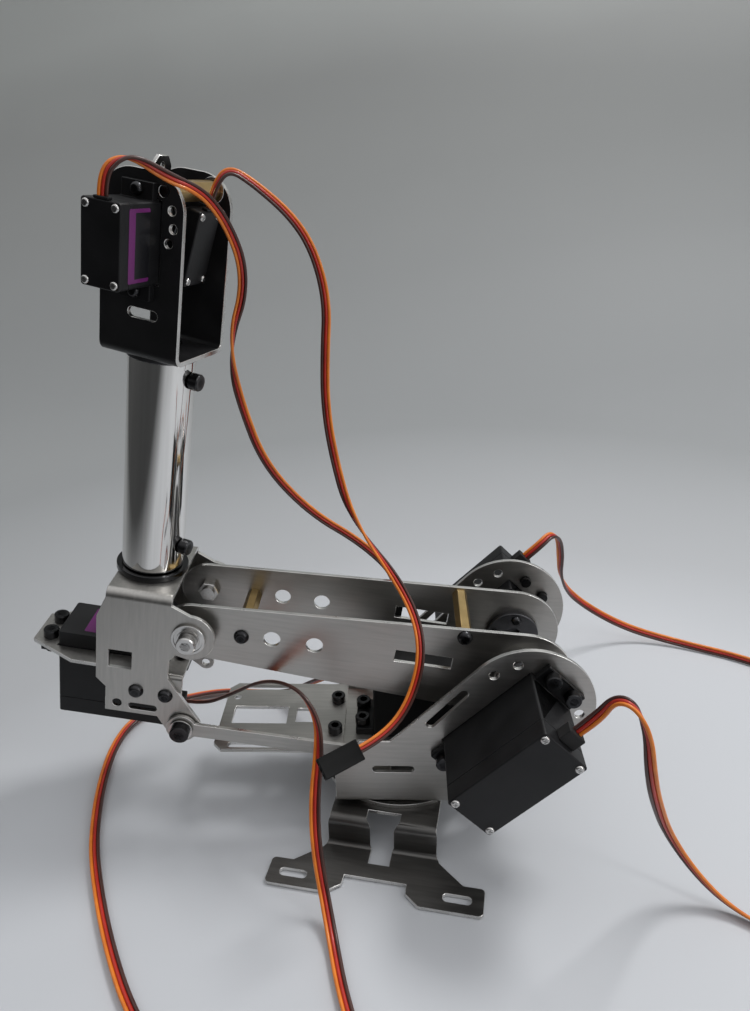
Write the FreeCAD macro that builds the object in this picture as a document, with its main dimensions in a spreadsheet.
import FreeCAD, Part
import math
import os
import re

import Sketcher

# Desktop robot arm: bent sheet brackets carried on hobby servos, with six turning joints.
# Millimetres. The origin is on the floor under the waist axis, +Z up, +X forward.
# Every piece is drawn in the frame of the body that carries it and placed with that frame.

V = FreeCAD.Vector
AXIS = {"x": V(1, 0, 0), "y": V(0, 1, 0), "z": V(0, 0, 1)}

SIZES = {
    # Sheet metal and fits
    "gauge": 1.5,
    "bend": 1.6,
    "fit": 0.1,
    "run_fit": 0.06,
    "run_gap": 0.3,
    # Rest pose, degrees
    "waist_turn": 9.5,
    "arm_lean": 9.4,
    "elbow_lean": 10,
    "roll_turn": -17,
    "pitch_turn": 10.6,
    # Base bracket
    "base_high": 13.5,
    "base_half": 19.5,
    "base_wall": 39.5,
    "foot_reach": 60.5,
    "foot_half": 38.2,
    "tab_deep": 10.8,
    "tab_round": 1.6,
    "tab_long": 7.6,
    "notch_half": 11,
    "notch_deep": 7.8,
    "notch_slope": 5.4,
    "foot_slot_at": 29,
    "foot_slot_in": 5.2,
    "foot_slot_long": 10,
    "foot_slot_wide": 3.2,
    "vase_wide": 12.2,
    "vase_neck": 7.6,
    "disc_rad": 31.3,
    "disc_thick": 1.7,
    # Waist bracket
    "waist_half": 31,
    "waist_back": 23.3,
    "waist_front": 18.1,
    "waist_shelf": 44.5,
    "waist_chop": 9,
    "shoulder_x": 43.5,
    "shoulder_z": 60.5,
    "head_rad": 23,
    "ring_rad": 17.8,
    "servo_lean": 45,
    # Tray behind the waist
    "tray_end": 70.5,
    "tray_half": 19.6,
    "tray_start": 21.5,
    "tray_chop": 3.2,
    # Standard servo, measured from the shaft axis and the shaft side of its ears
    "big_len": 40.7,
    "big_wid": 19.8,
    "big_below": 29.1,
    "big_above": 7.5,
    "big_ear_len": 54.4,
    "big_ear_thick": 2.5,
    "big_off": 10.2,
    "big_hole_x": 24.75,
    "big_hole_y": 5,
    "big_cover": 7,
    "big_boss_rad": 6.5,
    "big_boss_high": 1.2,
    "big_shaft_rad": 2.95,
    "big_horn_rad": 10.3,
    "big_horn_thick": 2.4,
    "big_horn_end": 13.4,
    "near_horn_end": 11.5,
    # Micro servo, measured the same way
    "micro_len": 22.8,
    "micro_wid": 12.2,
    "micro_below": 18.5,
    "micro_above": 4.2,
    "micro_ear_len": 32.2,
    "micro_ear_thick": 2.5,
    "micro_off": 5.9,
    "micro_hole_x": 13.9,
    "micro_cover": 4.5,
    "micro_boss_rad": 5.8,
    "micro_boss_high": 1.4,
    "micro_shaft_rad": 2.2,
    "micro_horn_rad": 7,
    "micro_horn_thick": 2.4,
    "micro_horn_end": 9.8,
    "gland_wide": 7,
    "gland_long": 5,
    "gland_thick": 4.4,
    "micro_gland_wide": 4.6,
    "micro_gland_long": 0.8,
    "micro_gland_thick": 2,
    # Upper arm
    "arm_long": 118.5,
    "arm_gap": 16,
    "arm_half": "=waist_half - arm_gap",
    "arm_big": 18,
    "arm_small": 10.5,
    "arm_slot_at": 36,
    "arm_slot_long": 20.6,
    "arm_slot_wide": 4.9,
    "arm_hole_rad": 3,
    "arm_hole_one": 75,
    "arm_hole_two": 90.2,
    "post_one_at": 101,
    "post_two_at": 23.3,
    "post_two_up": 13.4,
    "post_flat": 5,
    # Elbow
    "elbow_gap": 11,
    "elbow_half": "=waist_half - elbow_gap",
    "lever": 39,
    "lobe_rad": 6.6,
    "far_lobe": 3.2,
    "elbow_top": 15,
    "tube_at": 18.7,
    "servo_plate_at": 20.3,
    "ear_rad": 9,
    "bearing_rad": 6,
    "bearing_body": 4.6,
    "pin_rad": 2.5,
    "link_gap": 0.4,
    "link_wide": 5.6,
    "link_ring": 5.6,
    # Forearm
    "tube_rad": 10.7,
    "tube_wall": 1,
    "tube_long": 75.4,
    "tube_foot": 17.6,
    "hub_rad": 8,
    "wrist_half": 14.2,
    "wrist_wide": 13.4,
    "wrist_high": 53.8,
    "pitch_up": 40.6,
    "hole_arc": 10.4,
    "brace_out": 6.9,
    "brace_up": 8.4,
    "brace_flat": 5.5,
    # Wrist
    "tool_shift": 3.6,
    "cheek": 1.2,
    "cheek_reach": 6.3,
    "pitch_front": 7.5,
    # Fasteners
    "m_three": 1.5,
    "m_three_head": 2.75,
    "m_three_high": 3,
    "m_four": 2,
    "m_four_head": 2.8,
    "m_four_high": 3.2,
    # Leads
    "lead_rad": 1.9,
    "micro_lead_rad": 1.5,
    "plug_long": 14,
    "plug_wide": 7,
    "plug_thick": 2.8,
}

doc = FreeCAD.newDocument("robot_arm")
sheet = doc.addObject("Spreadsheet::Sheet", "dims")
for row, (name, size) in enumerate(SIZES.items(), start=1):
    sheet.set(f"A{row}", name)
    sheet.set(f"B{row}", str(size))
    sheet.setAlias(f"B{row}", name)
doc.recompute()

PIECES = []


def value(text):
    """The number that an expression on the sheet's names comes to."""
    return float(sheet.evalExpression(str(text)))


def bind(item, prop, text):
    """Ties a property to an expression on the sheet's names."""
    named = re.sub(r"[a-z_]+", lambda m: "dims." + m[0] if m[0] in SIZES else m[0], str(text))
    item.setExpression(prop, named)


def framed(parent, x="0", y="0", z="0", axis="z", turn="0"):
    """A frame carried by another: moved, then turned about one of its own axes."""
    move = V(value(x), value(y), value(z))
    return parent.multiply(FreeCAD.Placement(move, FreeCAD.Rotation(AXIS[axis], value(turn))))


def keep(item, label, frame):
    """Names a finished sub-part and stands it in its body's frame."""
    item.Label = label
    item.Placement = frame.multiply(item.Placement)
    PIECES.append(item)
    return item


# Part primitives, placed and sized by expressions


def place(item, x, y, z):
    for name, text in zip("xyz", (x, y, z)):
        bind(item, f"Placement.Base.{name}", text)
    return item


TURN = {
    "x": FreeCAD.Rotation(V(0, 1, 0), 90),
    "y": FreeCAD.Rotation(V(1, 0, 0), -90),
    "z": FreeCAD.Rotation(),
}


def rod(axis, x, y, z, radius, length):
    """A cylinder from a point along +x, +y or +z."""
    item = doc.addObject("Part::Cylinder", "rod")
    item.Placement = FreeCAD.Placement(V(0, 0, 0), TURN[axis])
    bind(item, "Radius", radius)
    bind(item, "Height", length)
    return place(item, x, y, z)


def hexagon(axis, x, y, z, flats, length):
    """A six-sided bar from a point along +x, +y or +z, given across its flats."""
    item = doc.addObject("Part::Prism", "hexagon")
    item.Polygon = 6
    item.Placement = FreeCAD.Placement(V(0, 0, 0), TURN[axis])
    bind(item, "Circumradius", f"({flats}) / sqrt(3)")
    bind(item, "Height", length)
    return place(item, x, y, z)


def fused(*items):
    item = doc.addObject("Part::MultiFuse", "fused")
    item.Shapes = list(items)
    return item


def less(base, *tools):
    item = doc.addObject("Part::Cut", "less")
    item.Base = base
    item.Tool = tools[0] if len(tools) == 1 else fused(*tools)
    return item


def grouped(items):
    item = doc.addObject("Part::Compound", "group")
    item.Links = list(items)
    return item


def screw(axis, x, y, z, size, length, head_at="low", high=None):
    """A socket screw: its shank runs from a point along an axis, its head is at that end or the other."""
    high = high or f"{size}_high"
    start = dict(x=x, y=y, z=z)
    start[axis] = f"({start[axis]}) - {high}" if head_at == "low" else f"({start[axis]}) + ({length})"
    head = rod(axis, start["x"], start["y"], start["z"], f"{size}_head", high)
    return fused(rod(axis, x, y, z, size, length), head)


# Bodies drawn with sketches, whose corners are tied to the sheet


def rect(x0, y0, x1, y1):
    return [(x0, y0), (x1, y0), (x1, y1), (x0, y1)]


def disc(x, y, radius):
    return ("disc", x, y, radius)


def spun(points, turn, x="0", y="0"):
    """Outline points turned about the origin and then moved, with the arcs that start at them."""
    def one(px, py):
        return (
            f"({x}) + cos({turn}) * ({px}) - sin({turn}) * ({py})",
            f"({y}) + sin({turn}) * ({px}) + cos({turn}) * ({py})",
        )
    out = []
    for p in points:
        if len(p) == 2:
            out.append(one(*p))
        else:
            out.append((*one(p[0], p[1]), one(*p[2]), one(*p[3])))
    return out


def slot(x, y, long, wide, turn="0"):
    """A round-ended slot, its middle at a point and its length turned from the sketch's first axis."""
    run, half = f"(({long}) - ({wide})) / 2", f"({wide}) / 2"
    points = [
        (f"-({run})", f"-({half})"),
        (run, f"-({half})", (f"({long}) / 2", "0"), (run, "0")),
        (run, half),
        (f"-({run})", half, (f"-({long}) / 2", "0"), (f"-({run})", "0")),
    ]
    return spun(points, turn, x, y)


PLANE = {"x": "YZ_Plane", "y": "XZ_Plane", "z": "XY_Plane"}


def sketch(body, axis, loops, at):
    """A sketch square to an axis, at a place along it. A point with a way and a centre starts an arc."""
    item = body.newObject("Sketcher::SketchObject", "outline")
    plane = [o for o in body.Origin.OriginFeatures if o.Role == PLANE[axis]][0]
    item.AttachmentSupport = [(plane, "")]
    item.MapMode = "FlatFace"
    bind(item, "AttachmentOffset.Base.z", f"-({at})" if axis == "y" else at)

    def fix(kind, ids, text):
        number = item.addConstraint(Sketcher.Constraint(kind, *ids, value(text)))
        bind(item, f"Constraints[{number}]", text)

    for loop in loops:
        if loop[0] == "disc":
            _, x, y, radius = loop
            shape = Part.Circle(V(value(x), value(y), 0), V(0, 0, 1), value(radius))
            number = item.addGeometry(shape, False)
            fix("DistanceX", (-1, 1, number, 3), x)
            fix("DistanceY", (-1, 1, number, 3), y)
            fix("Radius", (number,), radius)
            continue
        spots = [V(value(p[0]), value(p[1]), 0) for p in loop]
        ids, starts, ends = [], [], []
        for i, p in enumerate(loop):
            here, there = spots[i], spots[(i + 1) % len(loop)]
            if len(p) == 2:
                ids.append(item.addGeometry(Part.LineSegment(here, there), False))
                starts.append(1)
                ends.append(2)
                continue
            middle = V(value(p[2][0]), value(p[2][1]), 0)
            ids.append(item.addGeometry(Part.Arc(here, middle, there), False))
            first = item.getPoint(ids[-1], 1).distanceToPoint(here) < 1e-6
            starts.append(1 if first else 2)
            ends.append(2 if first else 1)
        for i, p in enumerate(loop):
            j = (i + 1) % len(loop)
            item.addConstraint(Sketcher.Constraint("Coincident", ids[i], ends[i], ids[j], starts[j]))
            fix("DistanceX", (-1, 1, ids[i], starts[i]), p[0])
            fix("DistanceY", (-1, 1, ids[i], starts[i]), p[1])
            if len(p) == 4:
                across = spots[j] - spots[i]
                way = "X" if abs(across.y) > abs(across.x) else "Y"
                fix(f"Distance{way}", (-1, 1, ids[i], 3), p[3]["XY".index(way)])
    return item


def new_body():
    return doc.addObject("PartDesign::Body", "body")


def pad(body, axis, loops, low, high):
    """Adds material square to an axis between two places along it."""
    item = body.newObject("PartDesign::Pad", "pad")
    item.Profile = sketch(body, axis, loops, high if axis == "y" else low)
    bind(item, "Length", f"({high}) - ({low})")
    doc.recompute()
    return body


def pocket(body, axis, loops, low, high):
    """Takes material away square to an axis between two places along it."""
    before = body.Shape.Volume
    item = body.newObject("PartDesign::Pocket", "pocket")
    item.Profile = sketch(body, axis, loops, low if axis == "y" else high)
    bind(item, "Length", f"({high}) - ({low})")
    doc.recompute()
    if body.Shape.Volume > before - 1e-6:
        raise RuntimeError(f"a pocket of {body.Name} cut nothing")
    return body


def edges_along(body, axis, spots):
    """Names of the tip's straight edges along an axis that stand at the given spots across it."""
    keep_axes = [a for a in "xyz" if a != axis]
    names = []
    for number, edge in enumerate(body.Tip.Shape.Edges, start=1):
        if not isinstance(edge.Curve, Part.Line) or abs(edge.Curve.Direction.dot(AXIS[axis])) < 0.999:
            continue
        p = edge.Vertexes[0].Point
        here = [getattr(p, a) for a in keep_axes]
        for spot in spots:
            if abs(here[0] - value(spot[0])) < 0.01 and abs(here[1] - value(spot[1])) < 0.01:
                names.append(f"Edge{number}")
    return names


def rounded(body, axis, spots, radius):
    """Rounds the edges along an axis at the given spots."""
    tip = body.Tip
    names = edges_along(body, axis, spots)
    if len(names) < len(spots):
        raise RuntimeError(f"{len(names)} of {len(spots)} edges found to round on {body.Name}")
    item = body.newObject("PartDesign::Fillet", "fillet")
    item.Base = (tip, names)
    bind(item, "Radius", radius)
    doc.recompute()
    return body


# Frames of the bodies at rest

BASE = FreeCAD.Placement()
WAIST = framed(BASE, turn="waist_turn")
SHOULDER = framed(WAIST, "shoulder_x", "0", "shoulder_z")
ARM = framed(SHOULDER, axis="y", turn="arm_lean")
ELBOW = framed(framed(ARM, "-arm_long"), axis="y", turn="elbow_lean - arm_lean")
CRANK = framed(SHOULDER, axis="y", turn="elbow_lean")
LINK = framed(framed(CRANK, z="-lever"), axis="y", turn="arm_lean - elbow_lean")
FOREARM = framed(ELBOW, "-tube_at", axis="z", turn="roll_turn")
TUBE_TOP = "tube_foot + tube_long"
WRIST_FLOOR = f"{TUBE_TOP} + 1.5"
WRIST = framed(FOREARM, z=f"{WRIST_FLOOR} + pitch_up", axis="y", turn="pitch_turn")
TOOL = framed(WRIST, y="tool_shift")

DISC_TOP = "base_high + disc_thick"
WAIST_FLOOR = f"{DISC_TOP} + run_gap"
DECK = f"{DISC_TOP} + big_horn_end"
WAIST_SERVO = framed(WAIST, z=DECK, axis="x", turn="180")
NEAR_SERVO = framed(framed(SHOULDER, y="-waist_half", axis="x", turn="-90"), turn="180 - servo_lean")
FAR_SERVO = framed(framed(SHOULDER, y="waist_half", axis="x", turn="90"), turn="180 + servo_lean")
ROLL_SERVO = framed(ELBOW, "-tube_at", z="-servo_plate_at", turn="180")
WRIST_SERVO = framed(
    framed(FOREARM, y="-wrist_half", z=f"{WRIST_FLOOR} + pitch_up", axis="x", turn="-90"), turn="90")
TOOL_SERVO = framed(framed(TOOL, x="-pitch_front", axis="y", turn="-90"), turn="180")


# Servos


def servo_case(kind, label, frame):
    """Middle and top of a servo housing, with its ears, shaft boss and shaft bore."""
    k = kind
    x0, x1 = f"{k}_off - {k}_len / 2", f"{k}_off + {k}_len / 2"
    half = f"{k}_wid / 2"
    body = new_body()
    pad(body, "z", [rect(x0, f"-{half}", x1, half)], f"{k}_cover - {k}_below", f"{k}_above")
    rounded(body, "z", [(x, y) for x in (x0, x1) for y in (f"-{half}", half)], "0.9")
    ear = rect(f"{k}_off - {k}_ear_len / 2", f"1 - {half}", f"{k}_off + {k}_ear_len / 2", f"{half} - 1")
    hole = "m_four + fit" if k == "big" else "1.1"
    rows = ("-big_hole_y", "big_hole_y") if k == "big" else ("0",)
    holes = [disc(f"{k}_off + {side} * {k}_hole_x", y, hole) for side in (-1, 1) for y in rows]
    pad(body, "z", [ear, *holes], f"-{k}_ear_thick", "0")
    pad(body, "z", [disc("0", "0", f"{k}_boss_rad")], f"{k}_above - 0.5", f"{k}_above + {k}_boss_high")
    if k == "micro":
        pad(body, "z", [disc("micro_off", "0", "3")], "micro_above - 0.5", "micro_above + micro_boss_high")
    bore = disc("0", "0", f"{k}_shaft_rad + run_fit")
    pocket(body, "z", [bore], f"{k}_above - 3", f"{k}_above + {k}_boss_high")
    return keep(body, label, frame)


def servo_cover(kind):
    """Bottom cover of a servo housing, with its lead's way out at the shaft end."""
    k = kind
    x0, x1 = f"{k}_off - {k}_len / 2", f"{k}_off + {k}_len / 2"
    half = f"{k}_wid / 2"
    low, high = f"-{k}_below", f"{k}_cover - {k}_below"
    body = new_body()
    pad(body, "z", [rect(x0, f"-{half}", x1, half)], low, high)
    rounded(body, "z", [(x, y) for x in (x0, x1) for y in (f"-{half}", half)], "0.9")
    rounded(body, "x", [(y, low) for y in (f"-{half}", half)], "0.5")
    return body


def gland_sizes(kind):
    """Width, length out of the case, and the two heights of a lead's gland in its servo's frame."""
    if kind == "big":
        return "gland_wide", "gland_long", "big_cover - big_below - gland_thick", "big_cover - big_below"
    return "micro_gland_wide", "micro_gland_long", "-micro_below", "micro_gland_thick - micro_below"


def servo_gland(kind):
    """Rubber block that a lead comes out of, on the end face beside the shaft."""
    wide, long, low, high = gland_sizes(kind)
    end = f"{kind}_off - {kind}_len / 2"
    return pad(new_body(), "x", [rect(f"-{wide} / 2", low, f"{wide} / 2", high)], f"{end} - {long}", end)


def servo_ear_screws(grip, frame, heads="ear"):
    """The four ear screws of a standard servo, heads on the ears or on the sheet that they clamp."""
    shank = f"big_ear_thick + ({grip}) + 2"
    low, end = ("-big_ear_thick", "low") if heads == "ear" else ("-big_ear_thick - 2", "high")
    items = []
    for side in (-1, 1):
        for y in ("-big_hole_y", "big_hole_y"):
            items.append(screw("z", f"big_off + {side} * big_hole_x", y, low, "m_four", shank, end))
    group = grouped(items)
    group.Placement = frame
    return group


def ring_spots(kind, start):
    """Places of the four holes in a servo's output disc."""
    reach = f"{kind}_horn_rad * 0.68"
    return [(f"{reach} * cos({start + a})", f"{reach} * sin({start + a})") for a in (0, 90, 180, 270)]


def horn(kind, label, frame, end, start=45):
    """Round output disc with its hub and the servo's shaft, in the servo's own frame."""
    k = kind
    bottom = f"{end} - {k}_horn_thick"
    hub = f"{k}_above + {k}_boss_high + run_gap"
    body = new_body()
    holes = [disc(x, y, "1") for x, y in ring_spots(k, start)]
    pad(body, "z", [disc("0", "0", f"{k}_horn_rad"), *holes], bottom, end)
    if value(f"{bottom} - ({hub})") > 0.05:
        pad(body, "z", [disc("0", "0", f"{k}_shaft_rad + 0.8")], hub, bottom)
    pad(body, "z", [disc("0", "0", f"{k}_shaft_rad")], f"{k}_above - 2.5", bottom)
    return keep(body, label, frame)


# Base


def base_bracket():
    """Hat-bent bracket: two slotted feet, two walls and the top, cut to its flat outline."""
    body = new_body()
    wall, foot = "base_wall", "foot_reach"
    hat = [
        (f"-{foot}", "0"), (f"gauge - {wall}", "0"), (f"gauge - {wall}", "base_high - gauge"),
        (f"{wall} - gauge", "base_high - gauge"), (f"{wall} - gauge", "0"), (foot, "0"),
        (foot, "gauge"), (wall, "gauge"), (wall, "base_high"),
        (f"-{wall}", "base_high"), (f"-{wall}", "gauge"), (f"-{foot}", "gauge"),
    ]
    pad(body, "x", [hat], "-foot_half", "foot_half")
    outer = [(wall, "base_high"), (f"-{wall}", "base_high"),
             (f"gauge - {wall}", "0"), (f"{wall} - gauge", "0")]
    inner = [(wall, "gauge"), (f"-{wall}", "gauge"),
             (f"gauge - {wall}", "base_high - gauge"), (f"{wall} - gauge", "base_high - gauge")]
    rounded(body, "x", outer, "bend + gauge")
    rounded(body, "x", inner, "bend")
    top, low = "base_high + 1", "-1"
    for s in (-1, 1):
        tab = f"{s} * (foot_reach - tab_deep)"
        neck = f"{s} * (base_wall + 2.5)"
        for e in (-1, 1):
            waste = [
                (f"{e} * (foot_half + 1)", "0"), (f"{e} * (foot_half + 1)", tab),
                (f"{e} * (foot_half - tab_long)", tab), (f"{e} * (base_half + 1.8)", neck),
                (f"{e} * base_half", f"{s} * (base_wall - 1)"), (f"{e} * base_half", "0"),
            ]
            pocket(body, "z", [waste], low, top)
            slots = [slot(f"{e} * foot_slot_at", f"{s} * (foot_reach - foot_slot_in)",
                          "foot_slot_long", "foot_slot_wide")]
            pocket(body, "z", slots, low, top)
        edge, deep = f"{s} * (foot_reach + 1)", f"{s} * (foot_reach - notch_deep)"
        step = f"{s} * (foot_reach - notch_deep / 2)"
        notch = [
            ("-notch_half - notch_slope - 1", edge), ("notch_half + notch_slope + 1", edge),
            ("notch_half + 0.3", step), ("notch_half", deep),
            ("-notch_half", deep), ("-notch_half - 0.3", step),
        ]
        pocket(body, "z", [notch], low, top)
        vase = [
            ("-vase_wide / 2", f"{s} * (base_wall - 6)"), ("vase_wide / 2", f"{s} * (base_wall - 6)"),
            ("vase_wide / 2", f"{s} * (base_wall - 2)"), ("vase_neck / 2", f"{s} * (base_wall + 0.5)"),
            ("vase_neck / 2", f"{s} * (base_wall + 7)"), ("-vase_neck / 2", f"{s} * (base_wall + 7)"),
            ("-vase_neck / 2", f"{s} * (base_wall + 0.5)"), ("-vase_wide / 2", f"{s} * (base_wall - 2)"),
        ]
        pocket(body, "z", [vase], low, top)
    pocket(body, "z", [disc(x, y, "1 + fit") for x, y in ring_spots("big", 45)], low, top)
    signs = [(e, s) for e in (-1, 1) for s in (-1, 1)]
    tabs = [(f"{e} * foot_half", f"{s} * foot_reach") for e, s in signs]
    tabs += [(f"{e} * foot_half", f"{s} * (foot_reach - tab_deep)") for e, s in signs]
    rounded(body, "z", tabs, "tab_round")
    return keep(body, "base_bracket", BASE)


def base_turntable():
    """Round disc on the base, the waist servo's output disc on it, and the screws through all three."""
    body = new_body()
    spots = ring_spots("big", 45)
    pad(body, "z", [disc("0", "0", "disc_rad"), *[disc(x, y, "1 + fit") for x, y in spots]],
        "base_high", DISC_TOP)
    keep(body, "turntable_disc", BASE)
    horn("big", "waist_horn", framed(BASE, z=DECK, axis="x", turn="180"), "big_horn_end")
    items = []
    for x, y in spots:
        head = rod("z", x, y, "base_high - gauge - 1.4", "1.9", "1.4")
        shank = rod("z", x, y, "base_high - gauge", "1 - fit", "disc_thick + gauge + big_horn_thick - 0.3")
        items.append(fused(shank, head))
    keep(grouped(items), "waist_horn_screws", BASE)


# Waist


def tangent_points(px, py, cx, cy, radius, side):
    """Where the line from a point touches a circle, as expressions; side picks one of the two."""
    dx, dy = f"(({px}) - ({cx}))", f"(({py}) - ({cy}))"
    away = f"sqrt({dx}^2 + {dy}^2)"
    turn = f"(atan2({dy}; {dx}) + {side} * acos(({radius}) / {away}))"
    return f"({cx}) + ({radius}) * cos({turn})", f"({cy}) + ({radius}) * sin({turn})"


def waist_bracket():
    """U-bent bracket: floor over the turntable and two cheeks with round heads for the shoulder servos."""
    body = new_body()
    low, half = WAIST_FLOOR, "waist_half"
    top = "shoulder_z + head_rad"
    section = [
        (f"-{half}", low), (half, low), (half, top), (f"{half} - gauge", top),
        (f"{half} - gauge", f"{low} + gauge"), (f"gauge - {half}", f"{low} + gauge"),
        (f"gauge - {half}", top), (f"-{half}", top),
    ]
    ahead = "shoulder_x + head_rad"
    pad(body, "x", [section], "-waist_back", ahead)
    rounded(body, "x", [(f"-{half}", low), (half, low)], "bend + gauge")
    rounded(body, "x", [(f"gauge - {half}", f"{low} + gauge"), (f"{half} - gauge", f"{low} + gauge")], "bend")
    chin = ("waist_front", low)
    hip = ("-3.4", "waist_shelf")
    front = tangent_points(*chin, "shoulder_x", "shoulder_z", "head_rad", 1)
    back = tangent_points(*hip, "shoulder_x", "shoulder_z", "head_rad", -1)
    outline = [
        ("-waist_back", low), chin,
        (*front, ("shoulder_x + head_rad * cos(30)", "shoulder_z + head_rad * sin(30)"),
         ("shoulder_x", "shoulder_z")),
        back, hip, ("waist_chop - waist_back", "waist_shelf"), ("-waist_back", "waist_shelf - waist_chop"),
    ]
    margin = rect("-waist_back - 1", f"{low} - 1", f"{ahead} + 1", f"{top} + 1")
    pocket(body, "y", [margin, outline], f"-{half} - 1", f"{half} + 1")
    pocket(body, "z", [disc("0", "0", "big_horn_rad + 1.2")], f"{low} - 1", f"{low} + gauge + 1")
    long_slots = [
        slot("-2.4", f"{low} + 16.5", "15", "3"),
        slot("shoulder_x - 27.4", "shoulder_z - 1.4", "20", "3.2", "49"),
        *[disc(f"shoulder_x + ring_rad * cos({a})", f"shoulder_z + ring_rad * sin({a})", "1.7")
          for a in (104, 133, 351)],
    ]
    pocket(body, "y", long_slots, f"-{half} - 1", f"{half} + 1")
    lean = "servo_lean"
    bed = spun(rect("-big_off - big_len / 2 - 0.3", "-big_wid / 2 - 0.3", "big_len / 2 - big_off + 0.3",
                    "big_wid / 2 + 0.3"), lean, "shoulder_x", "shoulder_z")
    holes = [spun([(f"{e} * big_hole_x - big_off", f"{s} * big_hole_y")], lean, "shoulder_x", "shoulder_z")[0]
             for e in (-1, 1) for s in (-1, 1)]
    bed_holes = [bed, *[disc(x, y, "m_four + fit") for x, y in holes]]
    pocket(body, "y", bed_holes, f"-{half} - 1", f"gauge - {half} + 1")
    pocket(body, "y", bed_holes, f"{half} - gauge - 1", f"{half} + 1")
    pocket(body, "z", [disc(x, y, "m_three + fit") for x, y in FEET], f"{low} - 1", f"{low} + gauge + 1")
    return keep(body, "waist_bracket", WAIST)


FEET = [(x, f"{s} * (tray_half - gauge - 4)") for x in ("-19.5", "-8") for s in (-1, 1)]


def waist_deck():
    """Bent deck on the bracket's floor: two legs with feet, and the sheet that the waist servo hangs in."""
    body = new_body()
    low = f"{WAIST_FLOOR} + gauge"
    side, foot = "tray_half", "tray_half - gauge - 7"
    section = [
        (f"-({foot})", low), (f"-({foot})", f"{low} + gauge"), (f"gauge - {side}", f"{low} + gauge"),
        (f"gauge - {side}", f"{DECK} - gauge"), (f"{side} - gauge", f"{DECK} - gauge"),
        (f"{side} - gauge", f"{low} + gauge"), (foot, f"{low} + gauge"), (foot, low),
        (side, low), (side, DECK), (f"-{side}", DECK), (f"-{side}", low),
    ]
    back, ahead, leg_end = "-tray_start - 7", "big_off + big_ear_len / 2 + 2", "-3.5"
    pad(body, "x", [section], "-waist_back", leg_end)
    rounded(body, "x", [(y, z) for y in (side, f"-{side}") for z in (low, DECK)], "bend")
    pad(body, "z", [rect(back, f"bend - {side}", "-waist_back", f"{side} - bend")], f"{DECK} - gauge", DECK)
    pad(body, "z", [rect(leg_end, "-13", ahead, "13")], f"{DECK} - gauge", DECK)
    bed = rect("big_off - big_len / 2 - 0.3", "-big_wid / 2 - 0.3", "big_off + big_len / 2 + 0.3",
               "big_wid / 2 + 0.3")
    holes = [disc(f"big_off + {e} * big_hole_x", f"{s} * big_hole_y", "m_four + fit")
             for e in (-1, 1) for s in (-1, 1)]
    tray_holes = [disc("-tray_start - 3.4", f"{s} * 9", "m_three + fit") for s in (-1, 1)]
    pocket(body, "z", [bed, *holes, *tray_holes], f"{DECK} - gauge - 1", f"{DECK} + 1")
    feet = [disc(x, y, "m_three + fit") for x, y in FEET]
    pocket(body, "z", feet, f"{low} - 1", f"{low} + gauge + 1")
    return keep(body, "servo_deck", WAIST)


def waist_tray():
    """Perforated tray behind the waist, screwed on the deck."""
    body = new_body()
    end, start, half, chop = "-tray_end", "-tray_start", "tray_half", "tray_chop"
    outline = [
        (start, f"-{half}"), (start, half), (f"{end} + {chop}", half), (end, f"{half} - {chop}"),
        (end, f"{chop} - {half}"), (f"{end} + {chop}", f"-{half}"),
    ]
    screws = [disc("-tray_start - 3.4", f"{s} * 9", "m_three + fit") for s in (-1, 1)]
    pad(body, "z", [outline, *screws], DECK, f"{DECK} + gauge")
    middle = "-tray_end + 15.5"
    holes = [slot(middle, f"{s} * (tray_half - 2.6)", "20", "2.8") for s in (-1, 1)]
    holes += [disc("-tray_end + 4.2", f"{s} * 10.6", "1.4") for s in (-1, 1)]
    holes.append(rect("-tray_end + 4.5", "-5", "-tray_end + 26", "5"))
    holes.append(rect("-tray_end + 29.5", "-4", "-tray_end + 37", "4"))
    pocket(body, "z", holes, f"{DECK} - 1", f"{DECK} + gauge + 1")
    return keep(body, "tray", WAIST)


def waist_screws():
    """Every socket screw of the waist: ears of its three servos, tray and deck."""
    items = [servo_ear_screws("gauge", f) for f in (WAIST_SERVO, NEAR_SERVO, FAR_SERVO)]
    own = []
    for s in (-1, 1):
        own.append(screw("z", "-tray_start - 3.4", f"{s} * 9", f"{DECK} - gauge - 2.5", "m_three",
                         "2 * gauge + 2.5", "high"))
    for x, y in FEET:
        own.append(screw("z", x, y, WAIST_FLOOR, "m_three", "2 * gauge", "high", "1.7"))
    rest = grouped(own)
    rest.Placement = WAIST
    keep(grouped([*items, rest]), "waist_screws", BASE)


def waist_servos():
    for name, frame in (("waist", WAIST_SERVO), ("near", NEAR_SERVO), ("far", FAR_SERVO)):
        servo_case("big", f"{name}_servo_case", frame)
    for make, label in ((servo_cover, "waist_servo_covers"), (servo_gland, "waist_servo_glands")):
        items = []
        for frame in (WAIST_SERVO, NEAR_SERVO, FAR_SERVO):
            item = make("big")
            item.Placement = frame
            items.append(item)
        keep(grouped(items), label, BASE)


# Upper arm


def tapered(long, big, small):
    """Outline round about the origin and about a point behind it, straight between."""
    slope = f"asin((({big}) - ({small})) / ({long}))"
    near = (f"-({big}) * sin({slope})", f"({big}) * cos({slope})")
    away = (f"-({long}) - ({small}) * sin({slope})", f"({small}) * cos({slope})")
    return [
        near, (*away, (f"-({long}) - ({small})", "0"), (f"-({long})", "0")),
        (away[0], f"-({away[1]})"), (near[0], f"-({near[1]})", (big, "0"), ("0", "0")),
    ]


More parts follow.
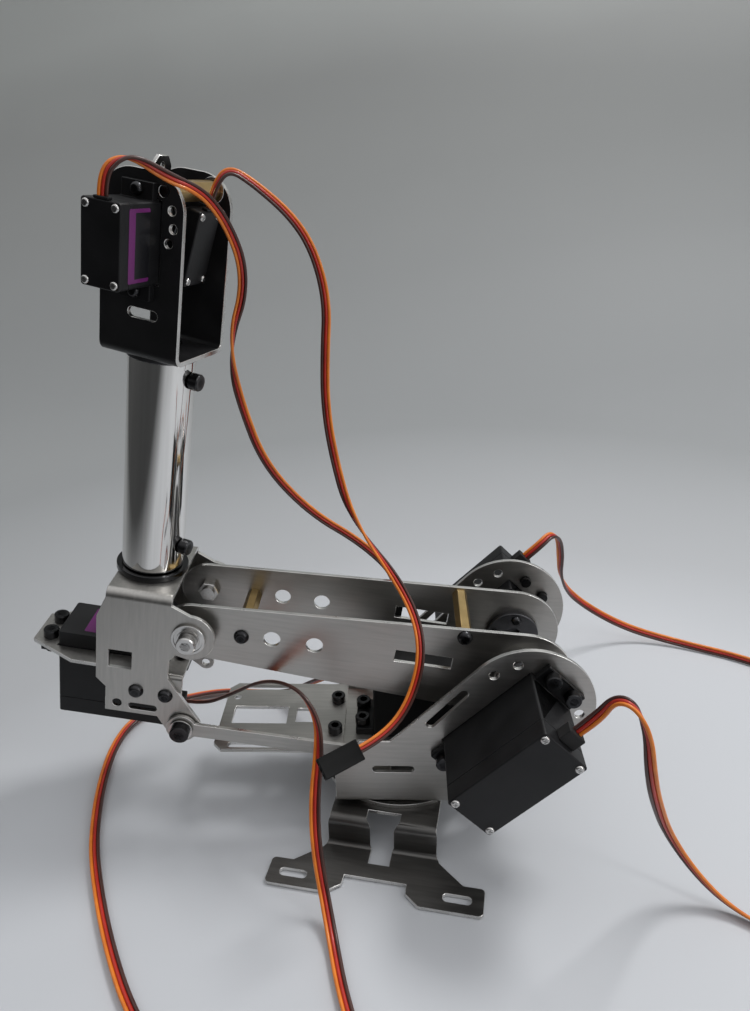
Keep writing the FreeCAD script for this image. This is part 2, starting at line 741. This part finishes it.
def arm_plate(label, low, high, hub):
    """Tapered arm plate: round at both ends, with its slot, lightening holes and screw holes."""
    body = new_body()
    outline = tapered("arm_long", "arm_big", "arm_small")
    run = "arm_slot_long / 2"
    holes = [
        rect(f"-arm_slot_at - {run}", "1.7 - arm_slot_wide / 2",
             f"{run} - arm_slot_at", "1.7 + arm_slot_wide / 2"),
        disc("-arm_hole_one", "1.1", "arm_hole_rad"), disc("-arm_hole_two", "1.1", "arm_hole_rad"),
        disc("-post_one_at", "0.4", "m_three + fit"), disc("-post_two_at", "post_two_up", "m_three + fit"),
        disc("-arm_long", "0", "pin_rad + fit"), *hub,
    ]
    pad(body, "y", [outline, *holes], low, high)
    return keep(body, label, ARM)


HORN_SPOTS = ring_spots("big", 0)


def upper_arm():
    inner = "arm_half - gauge"
    near_hub = [disc("0", "0", "bearing_body")]
    far_hub = [disc("0", "0", "big_shaft_rad + 0.4"), *[disc(x, y, "1 + fit") for x, y in HORN_SPOTS]]
    arm_plate("arm_plate_near", "-arm_half", f"-({inner})", near_hub)
    arm_plate("arm_plate_far", inner, "arm_half", far_hub)
    spots = [("-post_one_at", "0.4"), ("-post_two_at", "post_two_up")]
    posts = []
    for x, z in spots:
        bar = hexagon("y", x, f"-({inner})", z, "post_flat", f"2 * ({inner})")
        posts.append(less(bar, rod("y", x, f"-({inner})", z, "m_three + fit", f"2 * ({inner})")))
    keep(grouped(posts), "arm_standoffs", ARM)
    screws = []
    for x, z in spots:
        screws.append(screw("y", x, "-arm_half", z, "m_three", "gauge + 6", "low", "1.7"))
        screws.append(screw("y", x, f"{inner} - 6", z, "m_three", "gauge + 6", "high", "1.7"))
    for x, z in HORN_SPOTS:
        head = rod("y", x, f"{inner} - 2.4 - 1.4", z, "1.9", "1.4")
        shank = rod("y", x, f"{inner} - 2.4", z, "1 - fit", "2.4 + gauge + big_horn_thick - 0.3")
        screws.append(fused(head, shank))
    keep(grouped(screws), "arm_screws", ARM)


def shoulder_drive():
    """Far servo's output disc outside the far plate, black disc inside it, and the near plate's bush."""
    horn("big", "shoulder_horn", framed(ARM, y="waist_half", axis="x", turn="90"), "waist_half - arm_half", 0)
    inner = "arm_half - gauge"
    plate = less(rod("y", "0", f"{inner} - 2.4", "0", "big_horn_rad - 0.3", "2.4"),
                 *[rod("y", x, f"{inner} - 4", z, "1 + fit", "6") for x, z in HORN_SPOTS],
                 rod("y", "0", f"{inner} - 4", "0", "big_shaft_rad + 0.4", "6"))
    keep(plate, "shoulder_disc", ARM)
    bush = fused(rod("y", "0", "-arm_half", "0", "bearing_body - 0.02", "gauge"),
                 rod("y", "0", f"-({inner})", "0", "bearing_rad", "1.2"))
    keep(less(bush, rod("y", "0", "-arm_half - 1", "0", "pin_rad + run_fit", "6")), "shoulder_bush", ARM)


def elbow_pins():
    """Elbow bolts on the arm: sleeve outside, bolt through the bearing, nut inside."""
    items = []
    inner, outer = "arm_half - gauge", "elbow_half"
    for s in (-1, 1):
        def along(start, length):
            return start if s > 0 else f"-({start}) - ({length})"
        bolt_long = f"{outer} + 5 - ({inner}) + 4"
        bolt = rod("y", "-arm_long", along(f"{inner} - 4", bolt_long), "0", "pin_rad", bolt_long)
        sleeve_long = "elbow_half - gauge - arm_half - run_gap"
        sleeve = rod("y", "-arm_long", along("arm_half", sleeve_long), "0", "3.6", sleeve_long)
        cap = rod("y", "-arm_long", along(f"{outer} + 1.4", "3.6"), "0", "3.7", "3.6")
        nut = hexagon("y", "-arm_long", along(f"{inner} - 2.8", "2.8"), "0", "7", "2.8")
        items.append(fused(bolt, sleeve, cap, nut))
    keep(grouped(items), "elbow_pins", ARM)


# Crank and link


LINK_IN = "-elbow_half - link_gap"
LEVER_OUT = "near_horn_end - waist_half"


def crank():
    """Lever on the near servo's output disc, its pivot in the near arm plate, and the link's pin."""
    inner = f"{LEVER_OUT} + gauge"
    horn("big", "crank_horn", framed(CRANK, y="-waist_half", axis="x", turn="-90"), "near_horn_end", 45)
    spots = ring_spots("big", 45)
    holes = [disc("0", "0", "pin_rad + fit"), disc("0", "-lever", "pin_rad + fit"),
             *[disc(x, z, "1 + fit") for x, z in spots]]
    outline = spun(tapered("lever", "big_horn_rad + 0.7", "link_ring"), "90")
    keep(pad(new_body(), "y", [outline, *holes], LEVER_OUT, inner), "crank_lever", CRANK)
    items = []
    for x, z in spots:
        head = rod("y", x, inner, z, "1.9", "1.2")
        items.append(fused(head, rod("y", x, f"{LEVER_OUT} - 2", z, "1 - fit", "gauge + 2")))
    stub = rod("y", "0", LEVER_OUT, "0", "pin_rad", f"12 - arm_half - ({LEVER_OUT})")
    collar = rod("y", "0", inner, "0", "3.6", f"-arm_half - run_gap - ({inner})")
    nut = hexagon("y", "0", "gauge + 1.2 + run_gap - arm_half", "0", "8", "2.4")
    items.append(fused(stub, collar, nut))
    out = f"{LINK_IN} - gauge - run_gap"
    pin = rod("y", "0", out, "-lever", "pin_rad", f"{inner} + 2.2 - ({out})")
    head = rod("y", "0", f"{out} - 2.5", "-lever", "3.9", "2.5")
    step = rod("y", "0", f"{LINK_IN} + 0.2", "-lever", "3.8", f"{LEVER_OUT} - ({LINK_IN}) - 0.2")
    items.append(fused(pin, head, step, hexagon("y", "0", inner, "-lever", "7", "2.2")))
    keep(grouped(items), "crank_fasteners", CRANK)


def link_bar():
    """Flat bar with a round eye at each end."""
    body = new_body()
    rise = "asin((link_wide / 2) / link_ring)"
    inset, half = f"link_ring * cos({rise})", "link_wide / 2"
    outline = [
        (f"-({inset})", f"-({half})", ("link_ring", "0"), ("0", "0")), (f"-({inset})", half),
        (f"{inset} - arm_long", half, ("-arm_long - link_ring", "0"), ("-arm_long", "0")),
        (f"{inset} - arm_long", f"-({half})"),
    ]
    eyes = [disc("0", "0", "pin_rad + run_fit"), disc("-arm_long", "0", "pin_rad + 1.5 * run_fit")]
    pad(body, "y", [outline, *eyes], f"{LINK_IN} - gauge", LINK_IN)
    return keep(body, "link_bar", LINK)


# Elbow

CHEEK_SCREWS = [("-17.5", "-26"), ("-6.9", "-26.4")]


def elbow_bracket():
    """U-bent bracket: top under the tube, two cheeks with the elbow ears and the link's lobe."""
    body = new_body()
    half, top = "elbow_half", "elbow_top"
    low = "-lever - lobe_rad"
    section = [
        (f"-{half}", low), (f"gauge - {half}", low), (f"gauge - {half}", f"{top} - gauge"),
        (f"{half} - gauge", f"{top} - gauge"), (f"{half} - gauge", low), (half, low),
        (half, top), (f"-{half}", top),
    ]
    pad(body, "x", [section], "-32.5", "ear_rad + 1")
    rounded(body, "x", [(f"-{half}", top), (half, top)], "bend + gauge")
    rounded(body, "x", [(f"gauge - {half}", f"{top} - gauge"), (f"{half} - gauge", f"{top} - gauge")], "bend")
    margin = rect("-34", f"{low} - 1", "ear_rad + 2", f"{top} + 1")
    for lobe, eye, start, end in (("lobe_rad", "pin_rad + fit", f"-{half} - 1", "0"),
                                  ("far_lobe", "far_lobe / 2", "0", f"{half} + 1")):
        away = f"{lobe} * 0.7071"
        outline = [
            ("-29", top), ("-29", f"{top} - 3"), ("-32", "4"), ("-32", "-22.5"), ("-28.5", "-26"),
            ("-28.5", "-36.4"), ("-9.5", "-36.4"),
            (f"-{away}", f"-lever - {away}", (away, f"-lever - {away}"), ("0", "-lever")),
            (away, f"{away} - lever"), ("-6.4", "-19"), ("-6.4", "-11"), ("-4.2", "-8"),
            ("0", "-ear_rad", ("ear_rad", "0"), ("0", "0")), ("0", "ear_rad"),
            ("-6.5", f"{top} - 3"), ("-6.5", top),
        ]
        pocket(body, "y", [margin, outline], start, end)
        pocket(body, "y", [disc("0", "-lever", eye)], start, end)
    holes = [
        disc("0", "0", "bearing_body + 0.02"), rect("-27.6", "-17", "-19.4", "-9.5"),
        disc("-24.2", "-32.6", "1.7"), slot("-14.9", "-33.2", "10.4", "2.8"),
        *[disc(x, z, "m_three + fit") for x, z in CHEEK_SCREWS],
    ]
    pocket(body, "y", holes, f"-{half} - 1", f"{half} + 1")
    pocket(body, "z", [disc("-tube_at", "0", "hub_rad + 1")], f"{top} - gauge - 1", f"{top} + 1")
    return keep(body, "elbow_bracket", ELBOW)


def elbow_bearings():
    items = []
    for s, low in ((-1, "-elbow_half - 1.2"), (1, "elbow_half")):
        flange = rod("y", "0", low, "0", "bearing_rad", "1.2")
        sleeve = rod("y", "0", "-elbow_half" if s < 0 else "elbow_half - gauge", "0", "bearing_body", "gauge")
        bore = rod("y", "0", f"{low} - 2", "0", "pin_rad + run_fit", "6")
        items.append(less(fused(flange, sleeve), bore))
    keep(grouped(items), "elbow_bearings", ELBOW)


PLATE_LOW = "-servo_plate_at"


def servo_plate():
    """Pointed plate on the roll servo's ears, with a flange bent down inside each cheek of the bracket."""
    body = new_body()
    inner, foot = "elbow_half - gauge", f"{PLATE_LOW} - 10"
    high = f"{PLATE_LOW} + gauge"
    section = [
        (f"-({inner})", foot), (f"gauge - ({inner})", foot), (f"gauge - ({inner})", PLATE_LOW),
        (f"{inner} - gauge", PLATE_LOW), (f"{inner} - gauge", foot), (inner, foot), (inner, high),
        (f"-({inner})", high),
    ]
    pad(body, "x", [section], "-22.5", "-1.5")
    rounded(body, "x", [(f"-({inner})", high), (inner, high)], "bend")
    reach, nose = "17", "8.2"
    point = [("-22.5", f"-{reach}"), ("-22.5", reach), ("-42", reach), ("-59", nose), ("-59", f"-{nose}"),
             ("-42", f"-{reach}")]
    pad(body, "z", [point], PLATE_LOW, high)
    middle = "-tube_at - big_off"
    bed = rect(f"{middle} - big_len / 2 - 0.3", "-big_wid / 2 - 0.3", f"{middle} + big_len / 2 + 0.3",
               "big_wid / 2 + 0.3")
    holes = [disc(f"{middle} + {e} * big_hole_x", f"{s} * big_hole_y", "m_four + fit")
             for e in (-1, 1) for s in (-1, 1)]
    pocket(body, "z", [bed, *holes], f"{PLATE_LOW} - 1", f"{high} + 1")
    pocket(body, "y", [disc(x, z, "m_three + fit") for x, z in CHEEK_SCREWS], "-elbow_half", "elbow_half")
    return keep(body, "servo_plate", ELBOW)


def elbow_rest():
    """Roll servo under the plate, the ring that the tube turns on, the link's pin and every screw."""
    servo_case("big", "roll_servo_case", ROLL_SERVO)
    keep(servo_cover("big"), "roll_servo_cover", ROLL_SERVO)
    keep(servo_gland("big"), "roll_servo_gland", ROLL_SERVO)
    ring = less(rod("z", "-tube_at", "0", "elbow_top", "12.5", "2.2"),
                rod("z", "-tube_at", "0", "elbow_top - 1", "hub_rad + run_fit", "4"))
    keep(ring, "roll_ring", ELBOW)
    out = f"{LINK_IN} - gauge - run_gap"
    pin = rod("y", "0", out, "-lever", "pin_rad", f"5 - elbow_half - ({out})")
    head = rod("y", "0", f"{out} - 3.4", "-lever", "3.9", "3.4")
    nut = hexagon("y", "0", "gauge - elbow_half", "-lever", "7", "2.8")
    keep(fused(pin, head, nut), "link_pin", ELBOW)
    own = []
    for x, z in CHEEK_SCREWS:
        own.append(screw("y", x, "-elbow_half", z, "m_three", "2 * gauge + 2", "low", "1.7"))
        own.append(screw("y", x, "elbow_half - 2 * gauge - 2", z, "m_three", "2 * gauge + 2", "high", "1.7"))
    rest = grouped(own)
    rest.Placement = ELBOW
    keep(grouped([rest, servo_ear_screws("gauge", ROLL_SERVO, "sheet")]), "elbow_screws", BASE)


# Forearm


CLAMPS = ("tube_foot + 9", f"{TUBE_TOP} - 6")
CAP_SPOTS = [("0", "6"), ("0", "-6")]


def forearm_tube():
    """Hub on the roll servo's disc, polished tube round it, and the socket at the tube's top."""
    horn("big", "roll_horn", framed(framed(FOREARM, z=PLATE_LOW), turn="180"), "big_horn_end", 45)
    start = f"{PLATE_LOW} + big_horn_end"
    clamp_low = rod("x", "0", "0", CLAMPS[0], "m_four + fit", "20")
    clamp_high = rod("x", "0", "0", CLAMPS[1], "m_four + fit", "20")
    hub = fused(rod("z", "0", "0", start, "big_horn_rad", "3"),
                rod("z", "0", "0", start, "hub_rad", f"tube_foot + 14 - ({start})"))
    keep(less(hub, clamp_low), "forearm_hub", FOREARM)
    bore = "tube_rad - tube_wall"
    ring = less(rod("z", "0", "0", "tube_foot", bore, "14"),
                rod("z", "0", "0", "tube_foot", "hub_rad + 0.05", "14"), clamp_low)
    keep(ring, "tube_sleeve", FOREARM)
    tube = less(rod("z", "0", "0", "tube_foot", "tube_rad", "tube_long"),
                rod("z", "0", "0", "tube_foot", bore, "tube_long"), clamp_low, clamp_high)
    keep(tube, "forearm_tube", FOREARM)
    cap = fused(rod("z", "0", "0", f"{TUBE_TOP} - 12", bore, "12"),
                rod("z", "0", "0", TUBE_TOP, "tube_rad + 0.6", "1.5"))
    holes = [rod("z", x, y, f"{TUBE_TOP} - 7", "m_three + fit", "9") for x, y in CAP_SPOTS]
    keep(less(cap, clamp_high, *holes), "tube_cap", FOREARM)


BRACE = ("brace_out", f"{WRIST_FLOOR} + pitch_up + brace_up")
PITCH_Z = f"{WRIST_FLOOR} + pitch_up"


def wrist_bracket():
    """Black U-bent bracket: the near cheek carries the wrist servo, the far one its pivot."""
    body = new_body()
    half, wide, low = "wrist_half", "wrist_wide", WRIST_FLOOR
    top = f"{low} + wrist_high"
    section = [
        (f"-{half}", low), (half, low), (half, top), (f"{half} - gauge", top),
        (f"{half} - gauge", f"{low} + gauge"), (f"gauge - {half}", f"{low} + gauge"),
        (f"gauge - {half}", top), (f"-{half}", top),
    ]
    pad(body, "x", [section], f"-{wide}", wide)
    rounded(body, "x", [(f"-{half}", low), (half, low)], "bend + gauge")
    rounded(body, "x", [(f"gauge - {half}", f"{low} + gauge"), (f"{half} - gauge", f"{low} + gauge")], "bend")
    rounded(body, "y", [(x, top) for x in (f"-{wide}", wide)], "wrist_wide - 3")
    middle = f"{PITCH_Z} - micro_off"
    near = [
        rect("-micro_wid / 2 - 0.3", f"{middle} - micro_len / 2 - 0.3", "micro_wid / 2 + 0.3",
             f"{middle} + micro_len / 2 + 0.3"),
        *[disc("0", f"{middle} + {s} * micro_hole_x", "1.1") for s in (-1, 1)],
        slot("1.4", f"{low} + 14", "10", "3"),
        *[disc(f"hole_arc * cos({a})", f"{PITCH_Z} + hole_arc * sin({a})", "1.3") for a in (21, -6, -30)],
        disc(*BRACE, "m_three + fit"),
    ]
    pocket(body, "y", near, f"-{half} - 1", f"gauge - {half} + 1")
    far = [
        disc("0", PITCH_Z, "m_three + run_fit"), disc(*BRACE, "m_three + fit"),
        *[disc(f"hole_arc * cos({a})", f"{PITCH_Z} + hole_arc * sin({a})", "1.3") for a in (12, 168)],
    ]
    pocket(body, "y", far, f"{half} - gauge - 1", f"{half} + 1")
    pocket(body, "z", [disc(x, y, "m_three + fit") for x, y in CAP_SPOTS], f"{low} - 1", f"{low} + gauge + 1")
    return keep(body, "wrist_bracket", FOREARM)


def micro_ear_screws(frame, heads):
    """The two ear screws of a micro servo, heads on the ears or on the sheet that they clamp."""
    low, high = "-micro_ear_thick", "gauge + 1"
    items = []
    for s in (-1, 1):
        x = f"micro_off + {s} * micro_hole_x"
        head = rod("z", x, "0", f"{low} - 1.4" if heads == "ear" else "cheek", "1.9", "1.4")
        long = f"{high} - ({low})" if heads == "ear" else f"cheek - ({low})"
        items.append(fused(rod("z", x, "0", low, "1", long), head))
    group = grouped(items)
    group.Placement = frame
    return group


def forearm_rest():
    servo_case("micro", "wrist_servo_case", WRIST_SERVO)
    keep(grouped([servo_cover("micro"), servo_gland("micro")]), "wrist_servo_cover", WRIST_SERVO)
    inner = "wrist_half - gauge"
    x, z = BRACE
    bar = less(hexagon("y", x, f"-({inner})", z, "brace_flat", f"2 * ({inner})"),
               rod("y", x, f"-({inner})", z, "m_three + fit", f"2 * ({inner})"))
    keep(bar, "wrist_brace", FOREARM)
    own = [screw("x", "4", "0", at, "m_four", "tube_rad - 3.7", "high") for at in CLAMPS]
    for cap_x, cap_y in CAP_SPOTS:
        own.append(screw("z", cap_x, cap_y, f"{TUBE_TOP} - 6", "m_three", "6 + 1.5 + gauge", "high", "1.7"))
    own.append(rod("y", x, "-wrist_half", z, "m_three", "gauge + 6"))
    own.append(screw("y", x, f"{inner} - 6", z, "m_three", "gauge + 6", "high", "1.7"))
    rest = grouped(own)
    rest.Placement = FOREARM
    keep(grouped([rest, micro_ear_screws(WRIST_SERVO, "ear")]), "forearm_screws", BASE)


# Wrist and tool


def pitch_bracket():
    """Bent bracket in the wrist: near cheek on the servo's disc, front for the tool servo, far cheek."""
    body = new_body()
    near, far = "micro_horn_end - wrist_half", "tool_shift + micro_wid / 2 + 0.2"
    front = "-pitch_front - cheek"
    low, top = "-9.5", "5.2"
    plan = [
        ("cheek_reach", near), ("cheek_reach", f"{near} + cheek"), ("-pitch_front", f"{near} + cheek"),
        ("-pitch_front", far), ("cheek_reach", far), ("cheek_reach", f"{far} + cheek"),
        (front, f"{far} + cheek"), (front, near),
    ]
    pad(body, "z", [plan], low, top)
    rounded(body, "z", [(front, f"{far} + cheek"), (front, near)], "cheek")
    left, right = "tool_shift - 5", "tool_shift + 5"
    sides = [
        (left, "-24"), (right, "-24"), (right, "-20"), (f"{far} + cheek", "-19"),
        (f"{far} + cheek", "7"), (right, "8"), (right, "12"), ("tool_shift + 2.5", "15"),
        ("tool_shift - 2.5", "15"), (left, "12"), (left, "8"), (near, "7"), (near, "-19"), (left, "-20"),
    ]
    pad(body, "x", [sides], front, "-pitch_front")
    bed = rect("tool_shift - micro_wid / 2 - 0.15", "-micro_off - micro_len / 2 - 0.3",
               "tool_shift + micro_wid / 2 + 0.15", "micro_len / 2 - micro_off + 0.3")
    holes = [disc("tool_shift", f"{s} * micro_hole_x - micro_off", "1.1") for s in (-1, 1)]
    pocket(body, "x", [bed, *holes, disc("tool_shift", "12", "1.2")], f"{front} - 1", "-pitch_front + 0.2")
    return body, near, far


def wrist_rest():
    body, near, far = pitch_bracket()
    ring = ring_spots("micro", 45)
    pocket(body, "y", [disc(x, z, "1 + fit") for x, z in ring], f"{near} - 1", f"{near} + cheek + 1")
    pocket(body, "y", [disc("0", "0", "m_three + fit")], f"{far} - 1", f"{far} + cheek + 1")
    keep(body, "pitch_bracket", WRIST)
    horn("micro", "wrist_horn", framed(WRIST, y="-wrist_half", axis="x", turn="-90"), "micro_horn_end", 45)
    pin = fused(rod("y", "0", far, "0", "m_three", f"wrist_half + 1.5 - ({far})"),
                rod("y", "0", "wrist_half + run_gap", "0", "2.6", "1.6"))
    keep(pin, "pitch_pin", WRIST)
    servo_case("micro", "tool_servo_case", TOOL_SERVO)
    keep(grouped([servo_cover("micro"), servo_gland("micro")]), "tool_servo_cover", TOOL_SERVO)
    own = []
    for x, z in ring:
        head = rod("y", x, f"{near} - micro_horn_thick - 1.2", z, "1.6", "1.2")
        shank = rod("y", x, f"{near} - micro_horn_thick", z, "1 - fit", "micro_horn_thick + cheek")
        own.append(fused(head, shank))
    rest = grouped(own)
    rest.Placement = WRIST
    keep(grouped([rest, micro_ear_screws(TOOL_SERVO, "sheet")]), "wrist_screws", BASE)
    horn("micro", "tool_horn", TOOL_SERVO, "micro_horn_end", 45)


# Leads: three-wire ribbons, drawn as round tubes through hand-placed points in the frames of the bodies


def at(frame, x, y, z):
    return frame.multVec(V(value(x), value(y), value(z)))


def gland_way(kind, frame, run):
    """Two points of a lead: the middle of the face that it comes out of, and one straight out from it."""
    _, long, low, high = gland_sizes(kind)
    end, middle = f"{kind}_off - {kind}_len / 2 - {long}", f"({low} + {high}) / 2"
    return [at(frame, end, "0", middle), at(frame, f"{end} - ({run})", "0", middle)]


def lead(label, points, size="lead_rad"):
    """A tube of straight runs with tangent arcs at the corners."""
    edges, start = [], points[0]
    for before, corner, after in zip(points, points[1:], points[2:]):
        back, ahead = (before - corner), (after - corner)
        reach = 0.45 * min(back.Length, ahead.Length)
        back.normalize()
        ahead.normalize()
        half = (math.pi - back.getAngle(ahead)) / 2
        first, last = corner + back * reach, corner + ahead * reach
        radius = reach / math.tan(half)
        inward = back + ahead
        inward.normalize()
        middle = corner + inward * (radius / math.cos(half) - radius)
        edges.append(Part.LineSegment(start, first).toShape())
        edges.append(Part.Arc(first, middle, last).toShape())
        start = last
    edges.append(Part.LineSegment(start, points[-1]).toShape())
    spine = Part.Wire(edges)
    radius = value(size)
    ring = Part.Wire(Part.makeCircle(radius, points[0], points[1] - points[0]))
    tube = spine.makePipeShell([ring], True, True)
    wanted = math.pi * radius**2 * spine.Length
    if abs(tube.Volume - wanted) > 0.02 * wanted:
        raise RuntimeError(f"{label} is not an even tube: {tube.Volume} for {wanted}")
    item = doc.addObject("Part::Feature", "lead")
    item.Shape = tube
    print(label, "length", round(spine.Length, 1))
    return keep(item, label, BASE)


def plug(tip, toward, flat):
    """Three-pin housing that starts at a lead's tip and points on from it, flat against a direction."""
    box = doc.addObject("Part::Box", "plug")
    for prop, text in (("Length", "plug_long"), ("Width", "plug_wide"), ("Height", "plug_thick")):
        bind(box, prop, text)
    turn = FreeCAD.Rotation(toward, V(0, 0, 0), flat, "XZY")
    box.Placement = FreeCAD.Placement(tip, turn).multiply(
        FreeCAD.Placement(V(0, -value("plug_wide") / 2, -value("plug_thick") / 2), FreeCAD.Rotation()))
    return box


def way(frame, *points):
    """Points of a lead that keep their place in a body's frame."""
    return [at(frame, *point) for point in points]


JOIN = ("-47", "arm_half + plug_thick / 2 + 0.5")


def leads():
    join_top, join_low = at(ARM, *JOIN, "6"), at(ARM, *JOIN, "6 - 2 * plug_long")
    up = V(0, 0, 1)
    lead("wrist_lead", [
        *gland_way("micro", WRIST_SERVO, "5.2"),
        *way(FOREARM, (1.9, -29.3, 150.5), (4.9, -25.4, 151.7), (10.6, -18.2, 147.6),
            (14.7, -11.7, 145.6), (17, -5.8, 142.3), (19.5, 0.8, 135.4), (21.8, 6.2, 126),
            (21, 10.5, 115.1), (17.4, 12.6, 103.1), (17.2, 14.7, 90)),
        *way(ELBOW, (6, 10, 77.3), (15.7, 12, 55.8)),
        *way(ARM, (-84, 15, 38), (-63.2, 19.5, 26.4)),
        at(ARM, *JOIN, "15"), join_top,
    ], "micro_lead_rad")
    down = join_low - join_top
    out = ARM.Rotation.multVec(V(0, 1, 0))
    joined = [plug(join_top, down, out), plug((join_top + join_low) / 2, down, out)]
    keep(grouped(joined), "wrist_lead_plugs", BASE)
    routes = {
        "extension_lead": [
            join_low, at(ARM, *JOIN, "-5 - 2 * plug_long"),
            *way(WAIST, (-22.3, 24.3, 33), (-35.8, 34.4, 21)),
            *way(BASE, (-56, 35, 7), (-72, 38, 2.1), (-90, 36, 2.1), (-108, 27, 2.1), (-122, 12, 2.1),
                (-123.5, -6.3, 2.1), (-117.1, -29.8, 2.1), (-109.1, -48.9, 2.1), (-101.7, -62.9, 2.1),
                (-88.4, -81.9, 2.1), (-75.3, -98.1, 2.1), (-62.7, -111.4, 2.1), (-50.4, -121.6, 2.1)),
        ],
        "tool_lead": [
            *gland_way("micro", TOOL_SERVO, "6"),
            *way(WRIST, (11.4, 6.4, 18.5), (18, 10.6, 16.8)),
            *way(FOREARM, (31.7, 17, 140.4), (39.1, 19.8, 131.3), (45, 21.1, 117), (47.1, 19.6, 101.6)),
            *way(ELBOW, (34.4, 2.5, 85.7), (39.3, -1, 70)),
            *way(ARM, (-69.3, -6, 48.8)),
            *way(WAIST, (1.7, -19, 99.6), (7.9, -33, 87.3), (4, -40, 70.6), (-4.4, -47, 61.7),
                (-12.7, -52, 60.3)),
        ],
        "roll_lead": [
            *gland_way("big", ROLL_SERVO, "8"),
            *way(ELBOW, (14.8, -4.9, -33.8)),
            *way(WAIST, (-48.8, "-arm_half - 1.2", 60), (-34.7, "-arm_half - 15", 67.2),
                (-27.6, "-arm_half - 23", 61.1), (-26.8, "-arm_half - 29", 51.9),
                (-28.5, "-arm_half - 36", 37.6)),
            *way(BASE, (-17.9, -61.8, 22.5), (-12.6, -69.5, 2.1), (0.3, -99.4, 2.1), (14.1, -119, 2.1),
                (37.3, -125.1, 2.1), (58.7, -124, 2.1), (74, -119, 2.1)),
        ],
        "near_lead": [
            *gland_way("big", NEAR_SERVO, "8"),
            *way(SHOULDER, (19.8, -58.2, 26), (24.6, -62.6, 27), (28.5, -65.3, 18.5),
                (30.7, -65.6, 5.5), (35.1, -62, -9.7)),
            *way(BASE, (96.7, -36.5, 24.7), (108.9, -38.6, 9), (120.2, -43, 2.1), (131.3, -48.6, 2.1),
                (150.8, -44.2, 2.1), (163.5, -30, 2.1), (168.5, -11, 2.1), (168, 8, 2.1)),
        ],
        "far_lead": [
            *gland_way("big", FAR_SERVO, "8"),
            *way(SHOULDER, (21.8, 60, 19.5), (26.6, 65.8, 14.5), (29.1, 70.5, 4), (31.2, 76.7, -12.5)),
            *way(BASE, (69.7, 100.9, 29.7), (93.9, 113.6, 9), (117.9, 114.5, 2.1), (162.7, 102, 2.1),
                (177, 82.7, 2.1), (178, 62, 2.1), (170, 46, 2.1)),
        ],
    }
    floor_plugs = []
    for label, points in routes.items():
        lead(label, points, "micro_lead_rad" if label == "tool_lead" else "lead_rad")
        toward = points[-1] - points[-2]
        if label == "tool_lead":
            keep(plug(points[-1], toward, V(0, -0.8, 0.6)), "tool_lead_plug", BASE)
        else:
            floor_plugs.append(plug(points[-1], toward, up))
    keep(grouped(floor_plugs), "floor_plugs", BASE)


for build in (base_bracket, base_turntable, waist_bracket, waist_deck, waist_tray, waist_servos, waist_screws,
              upper_arm, shoulder_drive, elbow_pins, crank, link_bar, elbow_bracket, elbow_bearings,
              servo_plate, elbow_rest, forearm_tube, wrist_bracket, forearm_rest, wrist_rest, leads):
    build()

doc.recompute()
for item in doc.Objects:
    if "Invalid" in item.State or "Error" in item.State:
        raise RuntimeError(f"{item.Name} {item.Label} did not build: {item.State}")
for item in PIECES:
    if item.Shape.isNull() or not item.Shape.isValid():
        raise RuntimeError(f"{item.Label} has no valid shape")
os.makedirs("parts", exist_ok=True)
for item in PIECES:
    item.Shape.exportStep(f"parts/{item.Label}.step")
    print(item.Label, len(item.Shape.Solids), round(item.Shape.Volume, 1))
